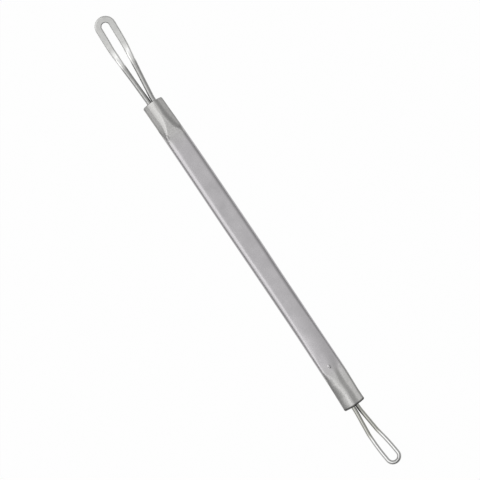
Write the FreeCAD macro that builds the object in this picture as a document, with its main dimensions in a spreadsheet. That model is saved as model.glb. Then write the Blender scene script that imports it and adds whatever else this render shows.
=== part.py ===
import FreeCAD, Part
import math
import os

import Sketcher
from FreeCAD import Placement, Rotation, Vector

# Double-ended blackhead extractor: a flattened steel tube with a wire loop crimped into
# each end. Millimetres and degrees.
#
# Frame: +X runs along the handle towards the narrow loop, +Y across it, +Z up. The origin
# is the middle of the handle's flat underside, on which the tool rests. The tube is drawn
# about its own centre line and each loop about its legs, outwards from the tube, and both
# then get their place.

DRIVING_SIZES = [
    # The tube.
    ("handle_length", 84.22, "tube, from one pair of wing corners to the other"),
    ("tube_width", 5.4, "flattened tube, across"),
    ("tube_height", 2.25, "flattened tube, over its two flat faces"),
    ("tube_wall", 0.25, "sheet of the tube"),
    ("wing_inset", 0.03, "how far inside the tube's side each wing starts"),
    ("straight_reach", 10.0, "from the middle of the handle to where it starts to drift"),
    # The end that holds the wide loop.
    ("wide_crimp_length", 8.8, "pressed length of the tube"),
    ("wide_end_width", 5.12, "over the two wings at the end"),
    ("wide_end_bulge", 0.52, "how far the arched end stands past its corners"),
    ("wide_end_shift", 0.15, "sideways set of the end, towards -Y"),
    # The end that holds the narrow loop.
    ("narrow_crimp_length", 9.4, "pressed length of the tube"),
    ("narrow_end_width", 5.5, "over the two wings at the end"),
    ("narrow_end_bulge", 0.2, "how far the arched end stands past its corners"),
    ("narrow_end_shift", 0.57, "sideways set of the end, towards -Y"),
    ("narrow_drift", 0.16, "sideways set of the tube where that crimp starts, towards -Y"),
    # Punch marks in the top face.
    ("dimple_width", 0.75, "round punch mark, across"),
    ("dimple_depth", 0.16, "round punch mark, into the sheet"),
    ("dimple_distance", 10.8, "from the narrow loop's end of the tube"),
    ("dimple_offset", 0.2, "from the centre line, towards -Y"),
    ("nick_length", 1.0, "short nick, along the tube"),
    ("nick_width", 0.3, "short nick, across"),
    ("nick_depth", 0.12, "short nick, into the sheet"),
    ("nick_distance", 8.7, "from the wide loop's end of the tube"),
    ("nick_offset", 1.4, "from the centre line, towards -Y"),
    # Both wires in the tube.
    ("wire_fit", 0.02, "clearance between a leg and the crimped tube"),
    ("leg_gap", 0.05, "between the two legs of a loop"),
    # The wide loop: legs nearly round, tip half hammered to a band.
    ("wide_leg_width", 1.2, "leg, across"),
    ("wide_leg_flat", 0.1, "leg, across each of its two flats"),
    ("band_width", 1.7, "hammered tip half, across"),
    ("band_height", 0.62, "hammered tip half, through"),
    ("wide_loop_width", 5.14, "over the loop's outside"),
    ("wide_loop_reach", 22.87, "from the arched end to the tip, seen from above"),
    ("wide_fork_distance", 0.6, "from the tube to the corner where the legs turn apart"),
    ("wide_side_start", 14.9, "from the tube to where the sides turn parallel"),
    ("wide_side_run", 1.2, "half the length over which they do"),
    ("wide_neck_start", 5.1, "from the tube to where the wire starts to flatten"),
    ("wide_neck_end", 18.8, "from the tube to where the band is at its full width"),
    ("wide_bend_distance", 12.3, "from the tube to the middle of the bend"),
    ("wide_bend_angle", 14.0, "bend of the tip half, upwards"),
    ("wide_bend_radius", 11.0, "radius of that bend"),
    ("wide_leg_lean", -2.6, "sideways lean of the legs"),
    ("wide_tip_lean", -2.9, "sideways lean of the tip half"),
    ("wide_insertion", 9.0, "legs inside the tube"),
    # The narrow loop: round wire all the way.
    ("narrow_wire", 1.0, "diameter"),
    ("narrow_loop_width", 3.96, "over the loop's outside"),
    ("narrow_loop_reach", 16.4, "from the arched end to the tip, seen from above"),
    ("narrow_fork_distance", 0.95, "from the tube to the corner where the legs turn apart"),
    ("narrow_side_start", 11.08, "from the tube to where the sides turn parallel"),
    ("narrow_side_run", 2.2, "half the length over which they do"),
    ("narrow_bend_distance", 7.38, "from the tube to the middle of the bend"),
    ("narrow_bend_angle", 14.0, "bend of the tip half, upwards"),
    ("narrow_bend_radius", 4.0, "radius of that bend"),
    ("narrow_leg_lean", 0.4, "sideways lean of the legs"),
    ("narrow_tip_lean", 5.6, "sideways lean of the tip half"),
    ("narrow_insertion", 9.5, "legs inside the tube"),
]

# How far a cutting sketch reaches past the metal that it removes.
CUT_MARGIN = 1.0

doc = FreeCAD.newDocument("blackhead_extractor")
sheet = doc.addObject("Spreadsheet::Sheet", "sizes")
for row, (alias, value, meaning) in enumerate(DRIVING_SIZES, start=1):
    sheet.set(f"A{row}", alias)
    sheet.set(f"B{row}", str(value))
    sheet.set(f"C{row}", meaning)
    sheet.setAlias(f"B{row}", alias)
doc.recompute()


def size(alias):
    return float(sheet.get(alias))


# ---------------------------------------------------------------- formulas
# Each formula names cells of the sheet, so the objects follow them.

WIDE_SHOULDER = "-sizes.handle_length / 2 + sizes.wide_crimp_length"
NARROW_SHOULDER = "sizes.handle_length / 2 - sizes.narrow_crimp_length"
WIDE_MOUTH = "-sizes.handle_length / 2 - sizes.wide_end_bulge"
NARROW_MOUTH = "sizes.handle_length / 2 + sizes.narrow_end_bulge"
GRIP_TURN = "sizes.straight_reach"
DRIFT = "-sizes.narrow_drift"
CENTRE_HEIGHT = "sizes.tube_height / 2"


def legs_slot(leg_width, leg_height):
    """Width and height of the cavity that two legs side by side fill."""
    width = f"2 * {leg_width} + sizes.leg_gap + 2 * sizes.wire_fit"
    height = f"{leg_height} + 2 * sizes.wire_fit"
    return width, height


# ---------------------------------------------------------------- sketches

def new_sketch(body, name, role, lift="0"):
    """A sketch on one of the body's own planes, lifted along its normal."""
    sketch = body.newObject("Sketcher::SketchObject", name)
    plane = next(p for p in body.Origin.OriginFeatures if p.Role == role)
    sketch.AttachmentSupport = [(plane, "")]
    sketch.MapMode = "FlatFace"
    sketch.setExpression("AttachmentOffset.Base.z", lift)
    return sketch


def drive(sketch, name, formula, *constraint):
    """Add a dimension, name it and bind it to the sheet."""
    value = float(sketch.evalExpression(formula))
    index = sketch.addConstraint(Sketcher.Constraint(*constraint, value))
    sketch.renameConstraint(index, name)
    sketch.setExpression(f"Constraints.{name}", formula)


def slot_sketch(body, name, role, lift, width, height, centre="0", middle="0"):
    """A slot along the sketch's X: two flats joined by half circles."""
    sketch = new_sketch(body, name, role, lift)
    quarter = math.pi / 2
    flat = 2.0
    radius = 1.0
    up = Vector(0, 0, 1)
    right = Part.ArcOfCircle(Part.Circle(Vector(flat, 0, 0), up, radius), -quarter, quarter)
    left = Part.ArcOfCircle(Part.Circle(Vector(-flat, 0, 0), up, radius), quarter, 3 * quarter)
    sketch.addGeometry([
        Part.LineSegment(Vector(-flat, radius, 0), Vector(flat, radius, 0)),
        right,
        Part.LineSegment(Vector(flat, -radius, 0), Vector(-flat, -radius, 0)),
        left,
    ], False)
    sketch.addConstraint([
        Sketcher.Constraint("Tangent", 0, 2, 1, 2),
        Sketcher.Constraint("Tangent", 1, 1, 2, 1),
        Sketcher.Constraint("Tangent", 2, 2, 3, 2),
        Sketcher.Constraint("Tangent", 3, 1, 0, 1),
        Sketcher.Constraint("Horizontal", 0),
        Sketcher.Constraint("Horizontal", 2),
    ])
    flats = f"(({width}) - ({height}))"
    drive(sketch, "end_radius", f"({height}) / 2", "Radius", 1)
    drive(sketch, "flats", flats, "DistanceX", 3, 3, 1, 3)
    drive(sketch, "right_centre", f"({centre}) + {flats} / 2", "DistanceX", -1, 1, 1, 3)
    drive(sketch, "middle", middle, "DistanceY", -1, 1, 1, 3)
    return sketch


def circle_sketch(body, name, role, lift, diameter, centre):
    sketch = new_sketch(body, name, role, lift)
    sketch.addGeometry(Part.Circle(Vector(1, 0, 0), Vector(0, 0, 1), 1), False)
    sketch.addConstraint(Sketcher.Constraint("PointOnObject", 0, 3, -1))
    drive(sketch, "radius", f"{diameter} / 2", "Radius", 0)
    drive(sketch, "centre", centre, "DistanceX", -1, 1, 0, 3)
    return sketch


def end_trim_sketch(body, name, side, end):
    """All that lies past the arched end of the tube; side is +1 at +X and -1 at -X."""
    half_width = size(f"{end}_end_width") / 2
    bulge = size(f"{end}_end_bulge")
    shift = size(f"{end}_end_shift")
    radius = (half_width ** 2 + bulge ** 2) / (2 * bulge)
    crest = side * (size("handle_length") / 2 + bulge)
    reach = half_width + CUT_MARGIN
    back = radius - math.sqrt(radius ** 2 - reach ** 2)
    low = Vector(crest - side * back, -shift - reach, 0)
    high = Vector(crest - side * back, -shift + reach, 0)
    far_low = Vector(crest + side * CUT_MARGIN, low.y, 0)
    far_high = Vector(crest + side * CUT_MARGIN, high.y, 0)

    # An arc in a sketch runs anticlockwise, so its two ends swap with the side.
    low_end, high_end = (1, 2) if side > 0 else (2, 1)
    start, stop = (low, high) if side > 0 else (high, low)
    sketch = new_sketch(body, name, "XY_Plane")
    sketch.addGeometry([
        Part.Arc(start, Vector(crest, -shift, 0), stop),
        Part.LineSegment(high, far_high),
        Part.LineSegment(far_high, far_low),
        Part.LineSegment(far_low, low),
    ], False)
    sketch.addConstraint([
        Sketcher.Constraint("Coincident", 0, high_end, 1, 1),
        Sketcher.Constraint("Coincident", 1, 2, 2, 1),
        Sketcher.Constraint("Coincident", 2, 2, 3, 1),
        Sketcher.Constraint("Coincident", 3, 2, 0, low_end),
        Sketcher.Constraint("Horizontal", 1),
        Sketcher.Constraint("Vertical", 2),
        Sketcher.Constraint("Horizontal", 3),
    ])
    half = f"sizes.{end}_end_width / 2"
    arch = f"sizes.{end}_end_bulge"
    round_radius = f"(({half})^2 + {arch}^2) / (2 * {arch})"
    crest_place = f"{side} * (sizes.handle_length / 2 + {arch})"
    middle = f"-sizes.{end}_end_shift"
    drive(sketch, "radius", round_radius, "Radius", 0)
    drive(sketch, "centre_x", f"{crest_place} - {side} * {round_radius}",
          "DistanceX", -1, 1, 0, 3)
    drive(sketch, "centre_y", middle, "DistanceY", -1, 1, 0, 3)
    drive(sketch, "low_side", f"{middle} - {half} - {CUT_MARGIN}", "DistanceY", -1, 1, 0, low_end)
    drive(sketch, "high_side", f"{middle} + {half} + {CUT_MARGIN}", "DistanceY", -1, 1, 0, high_end)
    drive(sketch, "far_side", f"{crest_place} + {side} * {CUT_MARGIN}", "DistanceX", -1, 1, 2, 1)
    return sketch


# ---------------------------------------------------------------- the tube

def loft(body, kind, name, first, last):
    """A straight loft between two slot sketches, added to the body or cut from it."""
    feature = body.newObject(f"PartDesign::{kind}", name)
    feature.Profile = first
    feature.Sections = [last]
    feature.Ruled = True
    return feature


def cut(body, name, sketch):
    """A pocket that still has to be told how far it goes."""
    pocket = body.newObject("PartDesign::Pocket", name)
    pocket.Profile = sketch
    return pocket


def tube_outline(body, name, place, centre="0"):
    return slot_sketch(body, name, "YZ_Plane", place,
                       "sizes.tube_width", "sizes.tube_height", centre)


def bore_outline(body, name, place, centre="0"):
    return slot_sketch(body, name, "YZ_Plane", place,
                       "sizes.tube_width - 2 * sizes.tube_wall",
                       "sizes.tube_height - 2 * sizes.tube_wall", centre)


def press_wings(body, end, shoulder_place, mouth_place, centre="0"):
    """The tube pressed flat, wall on wall, on both sides of the wires."""
    double_wall = "2 * sizes.tube_wall"
    shift = f"-sizes.{end}_end_shift"
    inner = slot_sketch(body, f"{end}_wing_start", "YZ_Plane", shoulder_place,
                        "sizes.tube_width - 2 * sizes.wing_inset", double_wall, centre)
    outer = slot_sketch(body, f"{end}_wing_end", "YZ_Plane", mouth_place,
                        f"sizes.{end}_end_width", double_wall, shift)
    return loft(body, "AdditiveLoft", f"{end}_wings", inner, outer)


def press_ridge(body, end, shoulder, mouth_place, leg_slot):
    """The ridge that the die leaves over the two legs, narrowing to the mouth."""
    width, height = leg_slot
    mouth = slot_sketch(body, f"{end}_ridge_mouth", "YZ_Plane", mouth_place,
                        f"{width} + 2 * sizes.tube_wall", f"{height} + 2 * sizes.tube_wall",
                        f"-sizes.{end}_end_shift")
    return loft(body, "AdditiveLoft", f"{end}_ridge", shoulder, mouth)


def hollow_ridge(body, end, bore, mouth_place, leg_slot):
    """The cavity in the ridge, closing from the tube's bore onto the two legs."""
    width, height = leg_slot
    mouth = slot_sketch(body, f"{end}_cavity_mouth", "YZ_Plane", mouth_place,
                        width, height, f"-sizes.{end}_end_shift")
    return loft(body, "SubtractiveLoft", f"{end}_cavity", bore, mouth)


def make_handle():
    wide_legs = legs_slot("sizes.wide_leg_width", "sizes.wide_leg_width - sizes.wide_leg_flat")
    narrow_legs = legs_slot("sizes.narrow_wire", "sizes.narrow_wire")
    body = doc.addObject("PartDesign::Body", "handle")

    wide_shoulder = tube_outline(body, "wide_shoulder", WIDE_SHOULDER)
    grip = body.newObject("PartDesign::Pad", "straight_grip")
    grip.Profile = wide_shoulder
    grip.setExpression("Length", f"({GRIP_TURN}) - ({WIDE_SHOULDER})")
    doc.recompute()
    grip_turn = tube_outline(body, "grip_turn", GRIP_TURN)
    narrow_shoulder = tube_outline(body, "narrow_shoulder", NARROW_SHOULDER, DRIFT)
    loft(body, "AdditiveLoft", "drifting_grip", grip_turn, narrow_shoulder)

    press_wings(body, "wide", WIDE_SHOULDER, WIDE_MOUTH)
    press_ridge(body, "wide", wide_shoulder, WIDE_MOUTH, wide_legs)
    press_wings(body, "narrow", NARROW_SHOULDER, NARROW_MOUTH, DRIFT)
    press_ridge(body, "narrow", narrow_shoulder, NARROW_MOUTH, narrow_legs)

    for end, side in (("wide", -1), ("narrow", 1)):
        trim = cut(body, f"{end}_end_arch", end_trim_sketch(body, f"{end}_trim", side, end))
        trim.Type = "ThroughAll"
        trim.SideType = "Symmetric"

    wide_bore = bore_outline(body, "wide_bore", WIDE_SHOULDER)
    bore = cut(body, "straight_bore", wide_bore)
    bore.Reversed = True
    bore.setExpression("Length", f"({GRIP_TURN}) - ({WIDE_SHOULDER})")
    bore_turn = bore_outline(body, "bore_turn", GRIP_TURN)
    narrow_bore = bore_outline(body, "narrow_bore", NARROW_SHOULDER, DRIFT)
    loft(body, "SubtractiveLoft", "drifting_bore", bore_turn, narrow_bore)
    hollow_ridge(body, "wide", wide_bore, WIDE_MOUTH, wide_legs)
    hollow_ridge(body, "narrow", narrow_bore, NARROW_MOUTH, narrow_legs)

    add_marks(body)
    body.setExpression("Placement.Base.z", CENTRE_HEIGHT)
    return body


def add_marks(body):
    """A round punch mark and a short nick in the top face."""
    ball = "(sizes.dimple_width^2 / 4 + sizes.dimple_depth^2) / (2 * sizes.dimple_depth)"
    dimple = body.newObject("PartDesign::SubtractiveSphere", "dimple")
    dimple.setExpression("Radius", ball)
    dimple.setExpression("Placement.Base.x", "sizes.handle_length / 2 - sizes.dimple_distance")
    dimple.setExpression("Placement.Base.y", "-sizes.dimple_offset")
    dimple.setExpression("Placement.Base.z", f"{CENTRE_HEIGHT} + {ball} - sizes.dimple_depth")
    outline = slot_sketch(body, "nick_outline", "XY_Plane", CENTRE_HEIGHT,
                          "sizes.nick_length", "sizes.nick_width",
                          "-sizes.handle_length / 2 + sizes.nick_distance",
                          "-sizes.nick_offset")
    nick = cut(body, "nick", outline)
    nick.setExpression("Length", "sizes.nick_depth")


# ---------------------------------------------------------------- the loops' course

class LoopCourse:
    """A loop's middle line, outwards from the tube: straight, then leaning, then bent up.

    Each point is given by how far out it lies, seen from above, and how far across.
    """

    def __init__(self, end, leg_width, tip_width):
        self.fork = size(f"{end}_fork_distance")
        self.bend = size(f"{end}_bend_distance")
        self.rise = math.radians(size(f"{end}_bend_angle"))
        leg_lean = math.radians(size(f"{end}_leg_lean"))
        tip_lean = math.radians(size(f"{end}_tip_lean"))
        self.leg_along = Vector(math.cos(leg_lean), math.sin(leg_lean), 0)
        self.leg_across = Vector(-math.sin(leg_lean), math.cos(leg_lean), 0)
        tip_flat = Vector(math.cos(tip_lean), math.sin(tip_lean), 0)
        upward = Vector(0, 0, 1)
        self.tip_along = tip_flat * math.cos(self.rise) + upward * math.sin(self.rise)
        self.tip_across = Vector(-math.sin(tip_lean), math.cos(tip_lean), 0)
        self.tip_normal = self.tip_along.cross(self.tip_across)
        self.bend_point = Vector(self.fork, 0, 0) + self.leg_along * (self.bend - self.fork)

        self.insertion = size(f"{end}_insertion")
        self.near_half = (leg_width + size("leg_gap")) / 2
        self.far_half = (size(f"{end}_loop_width") - tip_width) / 2
        self.side_start = size(f"{end}_side_start")
        spread = (self.far_half - self.near_half) / (self.side_start - self.fork)
        self.bend_half = self.near_half + spread * (self.bend - self.fork)
        reach = size(f"{end}_loop_reach") - self.bend
        self.turn_out = reach / math.cos(self.rise) - self.far_half - tip_width / 2
        self.half_bend = size(f"{end}_bend_radius") * math.tan(self.rise / 2)
        self.side_run = size(f"{end}_side_run")

    def in_tip(self, along, across):
        return self.bend_point + self.tip_along * along + self.tip_across * across

    def side(self, sign):
        """Corners of one side, from its end in the tube to the start of the tip's turn."""
        side_start = (self.side_start - self.bend) / math.cos(self.rise)
        return [
            Vector(-self.insertion, sign * self.near_half, 0),
            Vector(self.fork, sign * self.near_half, 0),
            self.bend_point + self.leg_across * (sign * self.bend_half),
            self.in_tip(side_start, sign * self.far_half),
            self.in_tip(self.turn_out, sign * self.far_half),
        ]

    def edges(self):
        """Straight runs joined by tangent arcs, down one side, round the tip and back."""
        runs = [self.fork, self.half_bend, self.side_run]
        tip = Part.Arc(self.in_tip(self.turn_out, self.far_half),
                       self.in_tip(self.turn_out + self.far_half, 0),
                       self.in_tip(self.turn_out, -self.far_half)).toShape()
        out = rounded_edges(self.side(1), runs)
        back = rounded_edges(self.side(-1)[::-1], runs[::-1])
        return out + [tip] + back


def rounded_edges(corners, runs):
    """Edges through the corners, each inner one rounded by an arc that starts a run away."""
    edges = []
    start = corners[0]
    for before, corner, after, run in zip(corners, corners[1:], corners[2:], runs):
        back = (before - corner).normalize()
        ahead = (after - corner).normalize()
        half_opening = back.getAngle(ahead) / 2
        inset = run / math.cos(half_opening) - run * math.tan(half_opening)
        arc_start = corner + back * run
        arc_end = corner + ahead * run
        arc_middle = corner + (back + ahead).normalize() * inset
        edges.append(Part.makeLine(start, arc_start))
        edges.append(Part.Arc(arc_start, arc_middle, arc_end).toShape())
        start = arc_end
    edges.append(Part.makeLine(start, corners[-1]))
    return edges


# ---------------------------------------------------------------- the narrow loop

def make_narrow_loop():
    """Round wire, swept along its course."""
    course = doc.addObject("Part::Feature", "narrow_course")
    wire_width = size("narrow_wire")
    course.Shape = Part.Wire(LoopCourse("narrow", wire_width, wire_width).edges())
    body = doc.addObject("PartDesign::Body", "narrow_loop")
    section = circle_sketch(body, "wire_section", "YZ_Plane", "-sizes.narrow_insertion",
                            "sizes.narrow_wire", "(sizes.narrow_wire + sizes.leg_gap) / 2")
    wire = body.newObject("PartDesign::AdditivePipe", "wire")
    wire.Profile = section
    wire.Spine = (course, [f"Edge{i + 1}" for i in range(len(course.Shape.Edges))])
    body.setExpression("Placement.Base.x", NARROW_MOUTH)
    body.setExpression("Placement.Base.y", "-sizes.narrow_end_shift")
    body.setExpression("Placement.Base.z", CENTRE_HEIGHT)
    return body


# ---------------------------------------------------------------- the wide loop

# Spacing of the sections through which the hammered wire's skin is drawn: in leg widths
# along the straight runs, and by angle round the turns.
STRAIGHT_STEP = 0.7
TURN_STEP = math.radians(20)


def stations(course):
    """Points along a course with the way it runs there, closer together in its turns."""
    places = []
    straight_step = STRAIGHT_STEP * size("wide_leg_width")
    for edge in course.Edges:
        steps = max(1, round(edge.Length / straight_step))
        if edge.Curve.TypeId == "Part::GeomCircle":
            steps = max(2, round(edge.Length / edge.Curve.Radius / TURN_STEP))
        first, last = edge.ParameterRange
        for step in range(steps):
            at = first + (last - first) * step / steps
            places.append((edge.valueAt(at), edge.tangentAt(at)))
    places.append((edge.valueAt(last), edge.tangentAt(last)))
    return places


def ease(value, start, end):
    """0 before the start, 1 past the end, and a smooth rise between them."""
    share = min(1, max(0, (value - start) / (end - start)))
    return share * share * (3 - 2 * share)


def wire_section(centre, along, normal, width, height):
    """Two flats joined by half circles, square to the wire."""
    up = (normal - along * normal.dot(along)).normalize()
    across = up.cross(along)
    flat = across * ((width - height) / 2)
    lift = up * (height / 2)
    side = across * (width / 2)
    return Part.Wire([
        Part.makeLine(centre - flat + lift, centre + flat + lift),
        Part.Arc(centre + flat + lift, centre + side, centre + flat - lift).toShape(),
        Part.makeLine(centre + flat - lift, centre - flat - lift),
        Part.Arc(centre - flat - lift, centre - side, centre - flat + lift).toShape(),
    ])


def make_wide_loop():
    """Wire whose tip half is hammered to a band, skinned through sections on its course.

    Its width changes along a course that bends in two planes, which no sketch can hold.
    """
    leg_width = size("wide_leg_width")
    leg_height = leg_width - size("wide_leg_flat")
    loop = LoopCourse("wide", leg_width, size("band_width"))
    sections = []
    for centre, along in stations(Part.Wire(loop.edges())):
        hammered = ease(centre.x, size("wide_neck_start"), size("wide_neck_end"))
        bent = ease(centre.x, loop.bend - loop.half_bend, loop.bend + loop.half_bend)
        width = leg_width + hammered * (size("band_width") - leg_width)
        height = leg_height + hammered * (size("band_height") - leg_height)
        normal = Vector(0, 0, 1) * (1 - bent) + loop.tip_normal * bent
        sections.append(wire_section(centre, along, normal, width, height))
    feature = doc.addObject("Part::Feature", "wide_loop")
    feature.Shape = Part.makeLoft(sections, True, False)
    feature.Placement = Placement(Vector(0, 0, 0), Rotation(Vector(0, 0, 1), 180))
    feature.setExpression("Placement.Base.x", WIDE_MOUTH)
    feature.setExpression("Placement.Base.y", "-sizes.wide_end_shift")
    feature.setExpression("Placement.Base.z", CENTRE_HEIGHT)
    return feature


# ---------------------------------------------------------------- build and export

sub_parts = [make_handle(), make_wide_loop(), make_narrow_loop()]
doc.recompute()

for item in doc.Objects:
    if "Invalid" in item.State or "Error" in item.State:
        raise RuntimeError(f"{item.Label} failed: {item.State}")
for part in sub_parts:
    if part.Shape.isNull() or not part.Shape.isValid() or len(part.Shape.Solids) != 1:
        raise RuntimeError(f"{part.Label} is not one valid solid")

os.makedirs("parts", exist_ok=True)
for part in sub_parts:
    part.Shape.exportStep(f"parts/{part.Label}.step")
    print(part.Label, round(part.Shape.Volume, 2), "mm3", part.Shape.BoundBox)
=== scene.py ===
import math
from dataclasses import dataclass

import bmesh
import bpy
from bpy.props import FloatProperty, FloatVectorProperty, IntProperty, PointerProperty
from mathutils import Matrix, Vector


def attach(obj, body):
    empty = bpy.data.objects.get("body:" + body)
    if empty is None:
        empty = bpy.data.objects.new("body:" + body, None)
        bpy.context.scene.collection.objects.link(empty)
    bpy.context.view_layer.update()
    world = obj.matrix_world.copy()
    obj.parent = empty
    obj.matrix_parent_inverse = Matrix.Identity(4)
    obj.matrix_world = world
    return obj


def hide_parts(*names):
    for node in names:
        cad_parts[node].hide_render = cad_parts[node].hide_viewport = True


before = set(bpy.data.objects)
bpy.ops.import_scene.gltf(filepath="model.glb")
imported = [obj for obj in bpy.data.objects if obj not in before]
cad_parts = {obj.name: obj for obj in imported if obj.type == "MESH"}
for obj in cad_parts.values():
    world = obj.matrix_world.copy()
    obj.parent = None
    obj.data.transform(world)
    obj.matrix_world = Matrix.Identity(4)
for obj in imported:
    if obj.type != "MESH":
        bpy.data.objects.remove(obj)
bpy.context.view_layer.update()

bl_info = {
    "name": "Blackhead extractor",
    "version": (1, 0, 0),
    "blender": (4, 5, 0),
    "location": "View3D > Sidebar > Extractor",
    "description": "Builds a double-ended blackhead extractor and its studio",
    "category": "Add Mesh",
}

MM = 0.001

# Height of the tube's centre line above the face that it rests on.
CENTRE_HEIGHT = 1.125


# ---------------------------------------------------------------- small maths

def ease(value, start, end):
    """0 before the start, 1 past the end, and a smooth rise between them."""
    share = min(1.0, max(0.0, (value - start) / (end - start)))
    return share * share * (3 - 2 * share)


def follow(points, x):
    """The smooth curve through (x, y) points, level beyond the first and the last."""
    if x <= points[0][0]:
        return points[0][1]
    if x >= points[-1][0]:
        return points[-1][1]
    index = max(i for i, point in enumerate(points) if point[0] <= x)
    before = points[max(index - 1, 0)]
    start = points[index]
    end = points[index + 1]
    after = points[min(index + 2, len(points) - 1)]
    span = end[0] - start[0]
    share = (x - start[0]) / span
    slope_in = (end[1] - before[1]) / (end[0] - before[0]) * span
    slope_out = (after[1] - start[1]) / (after[0] - start[0]) * span
    rise = share * share * (3 - 2 * share)
    lead = share * (1 - share) ** 2
    trail = -share * share * (1 - share)
    return start[1] + (end[1] - start[1]) * rise + slope_in * lead + slope_out * trail


# ---------------------------------------------------------------- shape of the tube
# Millimetres in the frame of the part, seen from above.

# The two sides of the flattened tube, from the wide loop's end to the narrow one's.
SIDE_AWAY = [(-42.1, 2.45), (-39.5, 2.49), (-35.8, 2.6), (-30.2, 2.68), (-21.9, 2.74),
             (-10.7, 2.77), (0.4, 2.77), (6.0, 2.69), (14.4, 2.64), (22.7, 2.58),
             (28.3, 2.56), (33.9, 2.52), (36.7, 2.4), (39.4, 2.27), (42.1, 2.24)]
SIDE_NEAR = [(-42.1, -2.74), (-39.5, -2.73), (-35.8, -2.7), (-30.2, -2.69), (-21.9, -2.71),
             (-10.7, -2.77), (0.4, -2.76), (14.4, -2.76), (22.7, -2.8), (28.3, -2.88),
             (33.9, -2.96), (36.7, -3.02), (39.4, -3.13), (41.3, -3.21), (42.2, -3.22)]


@dataclass
class Crimp:
    """One pressed end: a crest over the legs, an arch to one side and a step to the other.

    Heights are above the tube's centre line. Each list holds (along, value) points.
    """

    side: int  # -1 at the wide loop's end and 1 at the narrow one's
    mouth: float  # where the tube ends, along it
    crest: list  # height of the crest
    near: list  # where the arch starts, across the tube
    arch: list  # radius of the arch
    steepest: float  # sine of the arch's steepest slope, past which it runs straight
    kink: list  # slope that the arch starts with
    far: list  # where the step starts, across the tube
    step: list  # width of the step
    fall: list  # height of the step
    wing_slope: float  # slope of the wing beyond the step
    roll: list  # width of the rounding along the tube's sides
    lip: float  # how far from the mouth its upper edge starts to turn down
    legs: float  # the line between the two legs, across the tube
    pressed_loss: float  # share of its thickness that the sheet lost over the legs' shoulders
    pressed_length: float  # how far from the mouth it did

    def to_mouth(self, x):
        """How far a point lies inside the tube's end."""
        return self.side * (self.mouth - x)


WIDE_CRIMP = Crimp(
    side=-1, mouth=-42.6,
    crest=[(-42.6, 0.8), (-33.3, 1.125)],
    near=[(-42.6, 0.27), (-40.5, 0.25), (-38.6, 0.18), (-36.75, -0.16), (-34.9, -0.86),
          (-34.0, -1.44), (-33.0, -1.9), (-32.1, -2.9)],
    kink=[(-42.6, 0.0)],
    arch=[(-42.6, 3.8), (-40.5, 3.7), (-38.6, 3.4), (-36.75, 2.55), (-34.9, 1.56), (-34.0, 1.2)],
    steepest=0.5,
    far=[(-42.6, 0.4), (-40.5, 0.42), (-38.6, 0.35), (-36.75, 0.53), (-34.9, 0.88),
         (-34.0, 1.46), (-33.0, 1.9), (-32.1, 2.8)],
    step=[(-42.6, 1.0), (-40.5, 1.0), (-38.6, 1.2), (-34.9, 1.35)],
    fall=[(-42.6, 0.33), (-40.5, 0.35), (-38.6, 0.41), (-34.9, 0.43)],
    wing_slope=0.22,
    roll=[(-42.6, 0.3), (-34.9, 0.3), (-33.8, 0.42), (-32.2, 1.125)],
    lip=0.12,
    legs=-0.19, pressed_loss=0.86, pressed_length=4.3)

NARROW_CRIMP = Crimp(
    side=1, mouth=42.29,
    crest=[(30.0, 1.125), (42.35, 0.78)],
    near=[(31.0, -2.9), (32.4, -1.9), (33.9, -1.0), (35.0, -0.62), (35.9, -0.51),
          (38.5, -0.45), (41.3, -0.58)],
    kink=[(35.7, 0.0), (39.0, 0.12)],
    arch=[(31.5, 2.6), (33.9, 3.6), (35.7, 4.4), (42.35, 5.4)],
    steepest=0.62,
    far=[(28.3, -0.4), (31.1, -0.4), (32.9, -0.26), (33.9, -0.28), (35.9, -0.5), (38.5, -0.45),
         (41.3, -0.58)],
    step=[(28.3, 2.8), (31.1, 2.45), (32.9, 1.4), (33.9, 1.28), (35.7, 1.4), (41.3, 1.5)],
    fall=[(22.0, 0.0), (28.3, 0.18), (31.1, 0.27), (32.9, 0.24), (33.9, 0.3), (41.3, 0.36)],
    wing_slope=0.0,
    roll=[(5.0, 1.125), (12.1, 1.05), (24.5, 0.57), (30.0, 0.57), (42.35, 0.6)],
    lip=0.38,
    legs=-0.485, pressed_loss=0.46, pressed_length=2.8)

# Over how much of its width an arch's kink is rounded off.
KINK_ROUNDING = 0.25

# Least height of the tube's sides above the flat face below.
LEAST_SIDE = 0.1

# Radius of the mouths' corners, seen from above, and how far in from a mouth its shape reaches.
MOUTH_CORNER = 0.35
MOUTH_REACH = 3.0

# How the two sides of the tube turn down: the near one starts further in and turns later.
NEAR_ROLL = 1.6
NEAR_SQUARENESS = 2.6
AWAY_SQUARENESS = 2.2

# How far the grip's face falls from its middle to its sides, along the tube.
CROWN = [(0.0, 0.0), (12.1, 0.12), (24.5, 0.3), (31.0, 0.15), (34.0, 0.0)]

# The share of its thickness that the sheet lost at the mouths' corners, and between which
# distances from the mouth and from the tube's side that fades.
CORNER_LOSS = 0.85
CORNER_FROM_MOUTH = (0.7, 1.5)
CORNER_FROM_SIDE = (0.1, 0.5)

# How far a leg's shoulder lies from the line between the legs, between which distances beside
# it the sheet's loss fades, and over how far it fades past its end.
LEG_SHOULDER = 0.95
BESIDE_SHOULDER = (0.4, 0.8)
PRESSED_FADE = 2.0

# The rings of faces lie close together over this length of each end. The grip between the two
# gets this share of the rings.
DENSE_LENGTH = 13.5
GRIP_SHARE = 0.3

# A point whose turn has a smaller sine than this lies on the tube's side line.
ON_SIDE_LINE = 1e-6


def crimp_at(x):
    """The crimp on this half of the tube."""
    return WIDE_CRIMP if x < 0 else NARROW_CRIMP


def rounded(share, squareness=2.0):
    """A quarter circle's height, 0 at its foot and 1 at its top and beyond.

    More squareness keeps it flat for longer before it turns down.
    """
    return (1 - (1 - min(1.0, share)) ** squareness) ** (1 / squareness)


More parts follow.
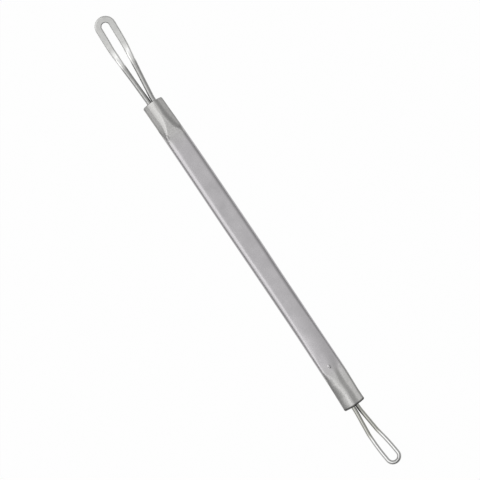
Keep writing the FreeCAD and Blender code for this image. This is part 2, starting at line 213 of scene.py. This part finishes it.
def face_height(crimp, x, across, middle, half_width):
    """Height of the top face, before its edges are rounded."""
    height = follow(crimp.crest, x)
    height -= follow(CROWN, x) * ((across - middle) / half_width) ** 2
    reach = follow(crimp.near, x) - across
    if reach > 0:
        radius = follow(crimp.arch, x)
        bent = min(reach, radius * crimp.steepest)
        slope = math.tan(math.asin(crimp.steepest))
        height -= radius - math.sqrt(radius ** 2 - bent ** 2) + (reach - bent) * slope
        height -= follow(crimp.kink, x) * (math.hypot(reach, KINK_ROUNDING) - KINK_ROUNDING)
    reach = across - follow(crimp.far, x)
    if reach > 0:
        step = follow(crimp.step, x)
        share = min(1.0, reach / step)
        height -= follow(crimp.fall, x) * ease(share, 0.0, 1.0)
        height -= crimp.wing_slope * (reach - step * (share - share * share / 2))
    return height


def along_tube(height):
    """Where a ring of a plain cylinder, one unit high each way, lies along the tube."""
    share = (height + 1) / 2
    end_share = (1 - GRIP_SHARE) / 2
    if share < end_share:
        return WIDE_CRIMP.mouth + DENSE_LENGTH * share / end_share
    if share > 1 - end_share:
        return NARROW_CRIMP.mouth - DENSE_LENGTH * (1 - share) / end_share
    grip = NARROW_CRIMP.mouth - WIDE_CRIMP.mouth - 2 * DENSE_LENGTH
    return WIDE_CRIMP.mouth + DENSE_LENGTH + grip * (share - end_share) / GRIP_SHARE


def place_on_tube(settings, turn, height):
    """Move a point of a plain upright cylinder, one unit high each way, to the tube's skin."""
    x = along_tube(height)
    crimp = crimp_at(x)
    low = follow(SIDE_NEAR, x)
    high = follow(SIDE_AWAY, x)
    middle = (low + high) / 2
    half_width = (high - low) / 2
    across = middle + half_width * math.cos(turn)
    inward = half_width * (1 - abs(math.cos(turn)))
    base = follow(crimp.crest, x)
    edge = face_height(crimp, x, low if across < middle else high, middle, half_width)
    edge = min(0.0, max(edge, LEAST_SIDE - base))
    if across < middle:
        roll = rounded(inward / (follow(crimp.roll, x) * NEAR_ROLL), NEAR_SQUARENESS)
    else:
        roll = rounded(inward / follow(crimp.roll, x), AWAY_SQUARENESS)
    if abs(math.sin(turn)) < ON_SIDE_LINE:
        z = edge
    elif math.sin(turn) > 0:
        face = face_height(crimp, x, across, middle, half_width)
        z = edge + (face - edge) * roll + mark_height(settings, x, across)
        z -= lip_drop(crimp.lip, crimp.to_mouth(x))
    else:
        z = edge - (base + edge) * roll

    # The mouth arches and its corners are rounded.
    if crimp.to_mouth(x) < MOUTH_REACH:
        arch = settings.wide_arch if crimp.side < 0 else settings.narrow_arch
        back = arch * ((across - middle) / half_width) ** 2
        back += MOUTH_CORNER * (1 - rounded(inward / MOUTH_CORNER))
        x -= crimp.side * back * (1 - crimp.to_mouth(x) / MOUTH_REACH) ** 2
    return Vector((x, across, CENTRE_HEIGHT + z)) * MM


def sheet_share(x, across):
    """How much of its thickness the sheet keeps.

    It lost some at the mouths' tightly bent corners and over the shoulders of the legs.
    """
    crimp = crimp_at(x)
    to_mouth = crimp.to_mouth(x)
    to_side = min(follow(SIDE_AWAY, x) - across, across - follow(SIDE_NEAR, x))
    corner = CORNER_LOSS * (1 - ease(to_mouth, *CORNER_FROM_MOUTH))
    corner *= 1 - ease(to_side, *CORNER_FROM_SIDE)
    beside = abs(abs(across - crimp.legs) - LEG_SHOULDER)
    end = crimp.pressed_length
    shoulder = crimp.pressed_loss * (1 - ease(to_mouth, end, end + PRESSED_FADE))
    shoulder *= 1 - ease(beside, *BESIDE_SHOULDER)
    return 1 - max(corner, shoulder)


def lip_drop(lip, to_mouth):
    """How far the mouth's upper edge has turned down, at 45 degrees at the mouth itself."""
    radius = lip * math.sqrt(2)
    return radius - math.sqrt(radius ** 2 - max(0.0, lip - to_mouth) ** 2)


def mark_height(settings, x, across):
    """How far the pip, the burr and the crease stand proud of the top face."""
    height = 0.0
    for place, size, rise in ((settings.pip_place, settings.pip_size, settings.pip_height),
                              (settings.burr_place, settings.burr_size, settings.burr_height),
                              (settings.crease_place, settings.crease_size,
                               settings.crease_height)):
        reach = math.hypot((x - place[0]) / size[0], (across - place[1]) / size[1]) * 2
        height += rise * max(0.0, 1 - reach * reach)
    return height


# ---------------------------------------------------------------- mesh helpers

def new_object(name, mesh_tool):
    """A smooth-shaded object in the scene's collection from finished bmesh data."""
    mesh = bpy.data.meshes.new(name)
    mesh_tool.to_mesh(mesh)
    mesh_tool.free()
    mesh.shade_smooth()
    piece = bpy.data.objects.new(name, mesh)
    bpy.context.scene.collection.objects.link(piece)
    return piece


# ---------------------------------------------------------------- node helpers

class Value:
    """A socket that ordinary arithmetic can be written with."""

    def __init__(self, nodes, socket):
        self.nodes = nodes
        self.socket = socket

    def maths(self, operation, first, second=0.0, clamp=False):
        return self.nodes.add("ShaderNodeMath", {"operation": operation, "use_clamp": clamp},
                              {0: first, 1: second})

    def __add__(self, other):
        return self.maths("ADD", self, other)

    def __radd__(self, other):
        return self.maths("ADD", other, self)

    def __sub__(self, other):
        return self.maths("SUBTRACT", self, other)

    def __rsub__(self, other):
        return self.maths("SUBTRACT", other, self)

    def __mul__(self, other):
        return self.maths("MULTIPLY", self, other)

    def __rmul__(self, other):
        return self.maths("MULTIPLY", other, self)

    def __abs__(self):
        return self.maths("ABSOLUTE", self)

    def clamped(self):
        """The value, kept between 0 and 1."""
        return self.maths("ADD", self, 0.0, clamp=True)

    def ease(self, start, end):
        """0 before the start, 1 past the end, and a smooth rise between them."""
        return self.nodes.add("ShaderNodeMapRange",
                              {"interpolation_type": "SMOOTHSTEP", "clamp": True},
                              {"Value": self, "From Min": start, "From Max": end})


# Over which upward shares of the normal a flat band's rim turns into its broad face.
RIM_TURN = (0.55, 0.97)


class Nodes:
    """Makes the nodes of one tree."""

    def __init__(self, tree):
        self.tree = tree
        tree.nodes.clear()

    def add(self, kind, settings=None, inputs=None, output=0):
        """One node with its settings and inputs; gives back the chosen output."""
        node = self.tree.nodes.new(kind)
        for name, setting in (settings or {}).items():
            setattr(node, name, setting)
        for key, value in (inputs or {}).items():
            if isinstance(value, Value):
                self.tree.links.new(value.socket, node.inputs[key])
            else:
                node.inputs[key].default_value = value
        if len(node.outputs) == 0:
            return None
        return Value(self, node.outputs[output])

    def place(self):
        """Object coordinates in millimetres."""
        metres = self.add("ShaderNodeTexCoord", output="Object")
        return self.add("ShaderNodeVectorMath", {"operation": "SCALE"},
                        {0: metres, "Scale": 1 / MM})

    def rim(self):
        """1 on the narrow sides of a flat band, and 0 on its two broad faces."""
        upward = self.axis(self.add("ShaderNodeTexCoord", output="Normal"), "Z")
        return 1.0 - abs(upward).ease(*RIM_TURN)

    def axis(self, vector, name):
        """The X, Y or Z of a vector."""
        return self.add("ShaderNodeSeparateXYZ", None, {0: vector}, name)

    def stretch(self, vector, factors):
        return self.add("ShaderNodeVectorMath", {"operation": "MULTIPLY"},
                        {0: vector, 1: factors})

    def noise(self, vector, scale, detail=3.0, roughness=0.6):
        """Noise from 0 to 1, with its middle at 0.5."""
        return self.add("ShaderNodeTexNoise", None,
                        {"Vector": vector, "Scale": scale, "Detail": detail,
                         "Roughness": roughness}, "Fac")

    def mix(self, factor, first, second, blend="MIX"):
        return self.add("ShaderNodeMix", {"data_type": "RGBA", "blend_type": blend},
                        {0: factor, 6: first, 7: second}, 2)

    def shaded(self, tint, level):
        """A tint, darkened or lightened by a level."""
        grey = self.add("ShaderNodeCombineColor", None, {0: level, 1: level, 2: level})
        return self.mix(1.0, tint, grey, "MULTIPLY")

    def bump(self, height, strength, distance):
        return self.add("ShaderNodeBump", None,
                        {"Height": height, "Strength": strength, "Distance": distance})

    def surface(self, shader):
        self.add("ShaderNodeOutputMaterial", None, {"Surface": shader})

    def metal(self, colour, roughness, normal):
        """Finish the tree as bare metal."""
        self.surface(self.add("ShaderNodeBsdfPrincipled", None, {
            "Base Color": colour, "Metallic": 1.0, "Roughness": roughness, "Normal": normal}))


def new_material(name):
    """A material and the maker of its nodes."""
    material = bpy.data.materials.new(name)
    material.use_nodes = True
    return material, Nodes(material.node_tree)


# ---------------------------------------------------------------- materials
# Places are in millimetres. A level is what a tint is multiplied by. Each pair of numbers
# holds where a change starts and where it ends.

# Where the grip's steel gives way to that of the crimps, from the middle of the tube.
CRIMP_STEEL = (29.0, 36.0)

# The painted shade along the narrow mouth's cut edge, a dark line that stands for the shadow under
# the lip: its middle across the tube, how much it bends, where it is along its middle, and how
# much darker it is.
MOUTH_SHADE_MIDDLE = -0.5
MOUTH_SHADE_BEND = 0.0265
MOUTH_SHADE_EDGE = (41.7, 41.95)
MOUTH_SHADE_DARKNESS = 0.6

# Along the wide loop, outward from the tube: where the bend's smoothness and painted highlight
# start and where they end, where the mottled tip starts, where it dulls a little, and where the
# rims get their painted highlight, partly rubbed wear.
BEND_POLISH_AND_HIGHLIGHT_START = (9.3, 11.8)
BEND_POLISH_AND_HIGHLIGHT_END = (11.8, 15.5)
BAND_TIP = (11.0, 15.0)
BAND_TIP_DULLS = (17.0, 22.0)
BAND_RIM_WEAR_AND_HIGHLIGHT = (9.5, 12.0)

# Along the narrow loop, outward from the tube: where the polish and its painted highlight start,
# and the duller tip.
WIRE_POLISH_AND_HIGHLIGHT = (7.0, 9.0)
WIRE_TIP = (14.3, 16.0)

# The share by which fine mottles and wide clouds vary the tube's level, and how much the grain
# and the clouds vary its roughness.
GRIP_MOTTLE = 0.17
MORE_CRIMP_MOTTLE = 0.4
TUBE_CLOUD = 0.2
GRAIN_ROUGHNESS = 0.1
CLOUD_ROUGHNESS = 0.12

# The wide loop's level on its legs, what the bend's painted highlight and the tip gain, what the
# tip then loses, the shares that the rims gain as painted highlight and rubbed wear and by which
# mottles vary it, and how much smoother the bend is.
BAND_LEVEL = 0.49
BEND_HIGHLIGHT_GAIN = 0.5
BAND_TIP_GAIN = 0.25
BAND_TIP_LOSS = 0.05
RIM_WEAR_AND_HIGHLIGHT_GAIN = 0.8
BAND_MOTTLE = 0.4
BEND_SMOOTHNESS = 0.4

# The narrow loop's level on its legs, what its polished half gains as painted highlight and its
# tip loses, the share by which mottles vary it, and how much smoother the polish is.
WIRE_LEVEL = 0.56
POLISH_HIGHLIGHT_GAIN = 0.14
WIRE_TIP_LOSS = 0.12
WIRE_MOTTLE = 0.25
POLISH_SMOOTHNESS = 0.7

# Painted shade in the gap between a loop's legs, where light doesn't reach: where it fades outward
# from the tube and beside the middle of the gap, and for each loop that middle, across the tube,
# and how much darker the painted shade is.
GAP_SHADE_FROM_MOUTH = (1.0, 4.0)
GAP_SHADE_FROM_MIDDLE = (0.1, 0.42)
WIDE_GAP = -0.15
WIDE_GAP_SHADE = 0.85
NARROW_GAP = -0.3
NARROW_GAP_SHADE = 0.78


def tube_steel(settings):
    """Satin steel with fine lengthwise wear, a little warmer at its pressed ends, with a painted
    shadow line along the narrow mouth's cut edge.
    """
    material, nodes = new_material("tube_steel")
    place = nodes.place()
    along = nodes.axis(place, "X")
    grain = nodes.noise(nodes.stretch(place, (0.35, 5.0, 5.0)), scale=1.4)
    mottle = nodes.noise(place, scale=3.2)
    cloud = nodes.noise(place, scale=0.35, detail=2.0, roughness=0.5)
    ends = abs(along).ease(*CRIMP_STEEL)
    tint = nodes.mix(ends, (*settings.tube_colour, 1), (*settings.tube_end_colour, 1))
    mottling = GRIP_MOTTLE + ends * MORE_CRIMP_MOTTLE
    level = 1.0 + (mottle - 0.5) * mottling + (cloud - 0.5) * TUBE_CLOUD
    # Painted shade: a dark line along the narrow mouth's cut edge stands for the shadow under the
    # lip.
    off_middle = nodes.axis(place, "Y") - MOUTH_SHADE_MIDDLE
    mouth = along + off_middle * off_middle * MOUTH_SHADE_BEND
    level = level * (1.0 - mouth.ease(*MOUTH_SHADE_EDGE) * MOUTH_SHADE_DARKNESS)
    rough = (settings.tube_roughness + (grain - 0.5) * GRAIN_ROUGHNESS
             + (cloud - 0.5) * CLOUD_ROUGHNESS)
    normal = nodes.bump(grain * 0.6 + mottle * 0.4, strength=0.25, distance=0.01 * MM)
    nodes.metal(nodes.shaded(tint, level), rough, normal)
    return material


def gap_shade(nodes, outward, across, middle):
    """Mask of the painted shade: 1 in the gap between a loop's legs at the tube's mouth, and 0
    away from it.
    """
    near_mouth = 1.0 - outward.ease(*GAP_SHADE_FROM_MOUTH)
    return near_mouth * (1.0 - abs(across - middle).ease(*GAP_SHADE_FROM_MIDDLE))


def band_steel(settings):
    """Steel with dull legs, a bend made smoother and painted bright as a highlight, rims painted
    brighter as a highlight and as rubbed wear, a tip mottled by the hammer, and painted shade
    between the legs at the mouth.
    """
    material, nodes = new_material("band_steel")
    place = nodes.place()
    outward = WIDE_CRIMP.mouth - nodes.axis(place, "X")
    mottle = nodes.noise(place, scale=1.2)
    # The bend is made smoother and painted brighter, as a painted highlight.
    bend = outward.ease(*BEND_POLISH_AND_HIGHLIGHT_START) * (1.0 - outward.ease(*BEND_POLISH_AND_HIGHLIGHT_END))
    tip = outward.ease(*BAND_TIP)
    level = (BAND_LEVEL + bend * BEND_HIGHLIGHT_GAIN + tip * BAND_TIP_GAIN
             - outward.ease(*BAND_TIP_DULLS) * BAND_TIP_LOSS)
    # Painted highlight on the band's rims, partly standing for rubbed wear.
    level = (level * (1.0 + nodes.rim() * outward.ease(*BAND_RIM_WEAR_AND_HIGHLIGHT) * RIM_WEAR_AND_HIGHLIGHT_GAIN)).clamped()
    level = level * (1.0 + (mottle - 0.5) * BAND_MOTTLE)
    # Painted shade in the gap between the legs at the tube's mouth.
    painted_gap_shade = gap_shade(nodes, outward, nodes.axis(place, "Y"), WIDE_GAP)
    level = level * (1.0 - painted_gap_shade * WIDE_GAP_SHADE)
    rough = settings.band_roughness * (1.0 - bend * BEND_SMOOTHNESS)
    normal = nodes.bump(mottle, strength=0.2, distance=0.02 * MM)
    nodes.metal(nodes.shaded((*settings.band_tint, 1), level), rough, normal)
    return material


def wire_steel(settings):
    """Round wire with dull legs, a polished tip half that is also painted brighter as a highlight,
    and painted shade between the legs at the mouth.
    """
    material, nodes = new_material("wire_steel")
    place = nodes.place()
    outward = nodes.axis(place, "X") - NARROW_CRIMP.mouth
    mottle = nodes.noise(place, scale=2.2)
    # The polished half is smoother and also painted brighter, as a painted highlight.
    polish_and_highlight = outward.ease(*WIRE_POLISH_AND_HIGHLIGHT)
    level = WIRE_LEVEL + polish_and_highlight * POLISH_HIGHLIGHT_GAIN - outward.ease(*WIRE_TIP) * WIRE_TIP_LOSS
    level = level * (1.0 + (mottle - 0.5) * WIRE_MOTTLE)
    # Painted shade in the gap between the legs at the tube's mouth.
    painted_gap_shade = gap_shade(nodes, outward, nodes.axis(place, "Y"), NARROW_GAP)
    level = level * (1.0 - painted_gap_shade * NARROW_GAP_SHADE)
    tint = nodes.mix(polish_and_highlight, (*settings.wire_tint, 1), (*settings.polished_tint, 1))
    rough = settings.wire_roughness * (1.0 - polish_and_highlight * POLISH_SMOOTHNESS)
    normal = nodes.bump(mottle, strength=0.1, distance=0.01 * MM)
    nodes.metal(nodes.shaded(tint, level), rough, normal)
    return material


# ---------------------------------------------------------------- settings

class HandleSettings(bpy.types.PropertyGroup):
    """Sizes of the flattened tube, in millimetres."""

    rings: IntProperty(name="Rings", description="Rings of faces along the tube",
                       default=300, min=20)
    segments: IntProperty(name="Segments", description="Faces round the tube",
                          default=144, min=16)
    wall: FloatProperty(name="Wall", description="Sheet of the tube", default=0.21)
    wide_arch: FloatProperty(name="Wide arch", description="Bulge of the wide loop's end",
                             default=0.3)
    narrow_arch: FloatProperty(name="Narrow arch", description="Bulge of the narrow loop's end",
                               default=0.2)
    pip_place: FloatVectorProperty(name="Pip", description="Along and across",
                                   size=2, default=(31.35, -0.42))
    pip_size: FloatVectorProperty(name="Pip size", description="Along and across",
                                  size=2, default=(1.0, 0.7))
    pip_height: FloatProperty(name="Pip height", description="Above the face", default=0.14)
    burr_place: FloatVectorProperty(name="Burr", description="Along and across",
                                    size=2, default=(-33.6, -1.72))
    burr_size: FloatVectorProperty(name="Burr size", description="Along and across",
                                   size=2, default=(1.5, 0.7))
    burr_height: FloatProperty(name="Burr height", description="Above the face", default=0.1)
    crease_place: FloatVectorProperty(name="Crease", description="Along and across",
                                      size=2, default=(32.15, 1.95))
    crease_size: FloatVectorProperty(name="Crease size", description="Along and across",
                                     size=2, default=(0.55, 0.9))
    crease_height: FloatProperty(name="Crease height", description="Above the face",
                                 default=0.04)


class SteelSettings(bpy.types.PropertyGroup):
    """Finish of the three kinds of steel."""

    tube_colour: FloatVectorProperty(name="Tube", description="Satin steel of the grip",
                                     subtype="COLOR", size=3, default=(0.57, 0.555, 0.57))
    tube_end_colour: FloatVectorProperty(name="Tube ends", description="Steel of the crimps",
                                         subtype="COLOR", size=3, default=(0.56, 0.555, 0.545))
    tube_roughness: FloatProperty(name="Tube roughness", description="Of the satin steel",
                                  default=0.26, min=0.0, max=1.0, subtype="FACTOR")
    band_tint: FloatVectorProperty(name="Wide loop", description="Tint of its steel",
                                   subtype="COLOR", size=3, default=(1.0, 1.0, 0.98))
    band_roughness: FloatProperty(name="Band roughness", description="Of the wide loop",
                                  default=0.28, min=0.0, max=1.0, subtype="FACTOR")
    wire_tint: FloatVectorProperty(name="Narrow loop", description="Tint of its legs' steel",
                                   subtype="COLOR", size=3, default=(1.0, 1.0, 0.93))
    polished_tint: FloatVectorProperty(name="Polished wire", description="Tint of its tip half",
                                       subtype="COLOR", size=3, default=(1.0, 1.0, 0.99))
    wire_roughness: FloatProperty(name="Wire roughness", description="Of the narrow loop",
                                  default=0.2, min=0.0, max=1.0, subtype="FACTOR")


# The tool's direction in the photo, from the wide loop to the narrow one, as a unit's shares
# across the picture and down it.
TOOL_ACROSS = 0.5604
TOOL_DOWN = 0.8282


class StageSettings(bpy.types.PropertyGroup):
    """Camera."""

    centre: FloatVectorProperty(name="View centre", description="Point under the camera, mm",
                                size=2, default=(-4.563, -1.104))
    width: FloatProperty(name="View width", description="What the picture spans, mm",
                         default=111.5)
    distance: FloatProperty(name="Camera distance", description="Above the floor, m",
                            default=1.2, subtype="DISTANCE")
    turn: FloatProperty(name="View turn", description="Direction of the picture's right side",
                        default=math.atan2(TOOL_DOWN, TOOL_ACROSS), subtype="ANGLE")


# ---------------------------------------------------------------- operators

class EXTRACTOR_OT_handle(bpy.types.Operator):
    """Build the flattened tube with its two pressed ends"""

    bl_idname = "extractor.handle"
    bl_label = "Handle"

    def execute(self, context):
        settings = context.scene.extractor_handle
        tool = bmesh.new()
        bmesh.ops.create_cone(tool, cap_ends=False, segments=settings.segments,
                              radius1=1, radius2=1, depth=2)
        lengthwise = [edge for edge in tool.edges
                      if abs(edge.verts[0].co.z - edge.verts[1].co.z) > 1]
        bmesh.ops.subdivide_edges(tool, edges=lengthwise, cuts=settings.rings,
                                  use_grid_fill=True)
        weights = tool.verts.layers.deform.verify()
        for vertex in tool.verts:
            turn = math.atan2(vertex.co.y, vertex.co.x)
            vertex.co = place_on_tube(settings, turn, vertex.co.z)
            vertex[weights][0] = sheet_share(vertex.co.x / MM, vertex.co.y / MM)
        piece = new_object("handle_tube", tool)
        piece.vertex_groups.new(name="sheet")
        sheet = piece.modifiers.new("sheet", "SOLIDIFY")
        sheet.thickness = settings.wall * MM
        sheet.vertex_group = "sheet"
        sheet.offset = -1
        piece.data.materials.append(tube_steel(context.scene.extractor_steel))
        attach(piece, "root")
        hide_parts("handle")
        return {"FINISHED"}


class EXTRACTOR_OT_loops(bpy.types.Operator):
    """Finish the two wire loops"""

    bl_idname = "extractor.loops"
    bl_label = "Loops"

    def execute(self, context):
        steel = context.scene.extractor_steel
        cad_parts["wide_loop"].data.materials[0] = band_steel(steel)
        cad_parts["narrow_loop"].data.materials[0] = wire_steel(steel)
        return {"FINISHED"}


# The floor lies this far below the tube's flat face, in millimetres, so that the two don't
# share a plane. It reaches this far each way, in metres.
FLOOR_GAP = 0.02
FLOOR_REACH = 2.0

# How much of the floor's paper is plain white, to the camera and as the steel mirrors it.
WHITE_TO_CAMERA = 0.98
WHITE_IN_STEEL = 0.6

# The light of the air: its level at the horizon, what it gains in a low band and above that,
# and the share that it loses beyond the narrow loop. Each range is of a direction's share
# upward or along the tool.
AIR_LEVEL = 0.14
LOW_BAND = (0.02, 0.24)
LOW_GAIN = 0.24
HIGH_BAND = (0.24, 1.0)
HIGH_GAIN = 0.175
DIM_END = (0.3, 0.75)
DIM_LOSS = 0.8

# From the middle of the tube's flat face to each lamp, in metres.
LAMP_DISTANCE = 0.6

# Each softbox's name, bearing and angle from straight above in degrees, length along its
# bearing and width in metres, and brightness in watts per square metre.
SOFTBOXES = [
    ("overhead", 0, 0, 0.55, 0.55, 0.45),
    ("key", -120, 36, 0.5, 0.52, 2.2),
    ("low", -124, 80, 0.3, 0.5, 0.2),
    ("side", -34, 30, 0.4, 0.4, 1.0),
    ("bend", 0, 11, 0.16, 0.16, 0.5),
    ("tip", 180, 25, 0.14, 0.14, 2.8),
]


class EXTRACTOR_OT_stage(bpy.types.Operator):
    """Set up the floor, the camera and the soft light"""

    bl_idname = "extractor.stage"
    bl_label = "Stage"

    def execute(self, context):
        settings = context.scene.extractor_stage
        self.make_camera(context, settings)
        self.make_floor(context)
        self.make_light(context)
        context.scene.view_settings.view_transform = "Standard"
        return {"FINISHED"}

    def make_camera(self, context, settings):
        lens = bpy.data.cameras.new("camera")
        lens.sensor_width = 36
        lens.lens = lens.sensor_width * settings.distance / (settings.width * MM)
        camera = bpy.data.objects.new("camera", lens)
        context.scene.collection.objects.link(camera)
        place = Matrix.Translation((settings.centre[0] * MM, settings.centre[1] * MM,
                                    settings.distance))
        camera.matrix_world = place @ Matrix.Rotation(settings.turn, 4, "Z")
        context.scene.camera = camera

    def make_floor(self, context):
        tool = bmesh.new()
        bmesh.ops.create_grid(tool, x_segments=1, y_segments=1, size=FLOOR_REACH,
                              matrix=Matrix.Translation((0, 0, -FLOOR_GAP * MM)))
        floor = new_object("floor", tool)
        material, nodes = new_material("floor")
        camera_ray = nodes.add("ShaderNodeLightPath", output="Is Camera Ray")
        mirror_ray = nodes.add("ShaderNodeLightPath", output="Is Glossy Ray")
        paper = nodes.add("ShaderNodeBsdfDiffuse", None, {"Color": (0.8, 0.8, 0.8, 1)})
        white = nodes.add("ShaderNodeEmission", None, {"Color": (1, 1, 1, 1), "Strength": 1.0})
        whitened = camera_ray * WHITE_TO_CAMERA + mirror_ray * WHITE_IN_STEEL
        nodes.surface(nodes.add("ShaderNodeMixShader", None, {0: whitened, 1: paper, 2: white}))
        floor.data.materials.append(material)

    def make_light(self, context):
        world = bpy.data.worlds.new("studio")
        world.use_nodes = True
        context.scene.world = world
        nodes = Nodes(world.node_tree)
        direction = nodes.add("ShaderNodeTexCoord", output="Generated")
        upward = nodes.axis(direction, "Z")
        level = AIR_LEVEL + upward.ease(*LOW_BAND) * LOW_GAIN + upward.ease(*HIGH_BAND) * HIGH_GAIN
        level = level * (1.0 - nodes.axis(direction, "X").ease(*DIM_END) * DIM_LOSS)
        camera_ray = nodes.add("ShaderNodeLightPath", output="Is Camera Ray")
        level = level * (1.0 - camera_ray) + camera_ray
        air = nodes.add("ShaderNodeBackground", None,
                        {"Color": (1, 1, 1, 1), "Strength": level})
        nodes.add("ShaderNodeOutputWorld", None, {"Surface": air})
        for box in SOFTBOXES:
            self.add_softbox(context, *box)

    def add_softbox(self, context, name, bearing, drop, length, width, brightness):
        """A rectangular lamp, aimed at the tool, drop degrees from straight above it."""
        light = bpy.data.lights.new(name, "AREA")
        light.shape = "RECTANGLE"
        light.size = length
        light.size_y = width
        light.energy = brightness * length * width
        lamp = bpy.data.objects.new(name, light)
        context.scene.collection.objects.link(lamp)
        lamp.visible_camera = False
        turn = Matrix.Rotation(math.radians(bearing), 4, "Z")
        tip = Matrix.Rotation(math.radians(drop), 4, "Y")
        lamp.matrix_world = turn @ tip @ Matrix.Translation((0, 0, LAMP_DISTANCE))


class EXTRACTOR_PT_panel(bpy.types.Panel):
    """Sizes and finish of the extractor, with a button for each step"""

    bl_idname = "EXTRACTOR_PT_panel"
    bl_label = "Blackhead extractor"
    bl_space_type = "VIEW_3D"
    bl_region_type = "UI"
    bl_category = "Extractor"

    def draw(self, context):
        layout = self.layout
        for group_name in GROUPS:
            group = getattr(context.scene, group_name)
            box = layout.box()
            for name in group.bl_rna.properties.keys():
                if name not in ("rna_type", "name"):
                    box.prop(group, name)
        for step in STEPS:
            layout.operator(step.bl_idname)


GROUPS = {
    "extractor_handle": HandleSettings,
    "extractor_steel": SteelSettings,
    "extractor_stage": StageSettings,
}
STEPS = (EXTRACTOR_OT_handle, EXTRACTOR_OT_loops, EXTRACTOR_OT_stage)


def register():
    for kind in (*GROUPS.values(), *STEPS, EXTRACTOR_PT_panel):
        bpy.utils.register_class(kind)
    for name, kind in GROUPS.items():
        setattr(bpy.types.Scene, name, PointerProperty(type=kind))


def unregister():
    for name in GROUPS:
        delattr(bpy.types.Scene, name)
    for kind in reversed((*GROUPS.values(), *STEPS, EXTRACTOR_PT_panel)):
        bpy.utils.unregister_class(kind)


def main():
    register()
    bpy.ops.extractor.handle()
    bpy.ops.extractor.loops()
    bpy.ops.extractor.stage()


if __name__ == "__main__":
    main()
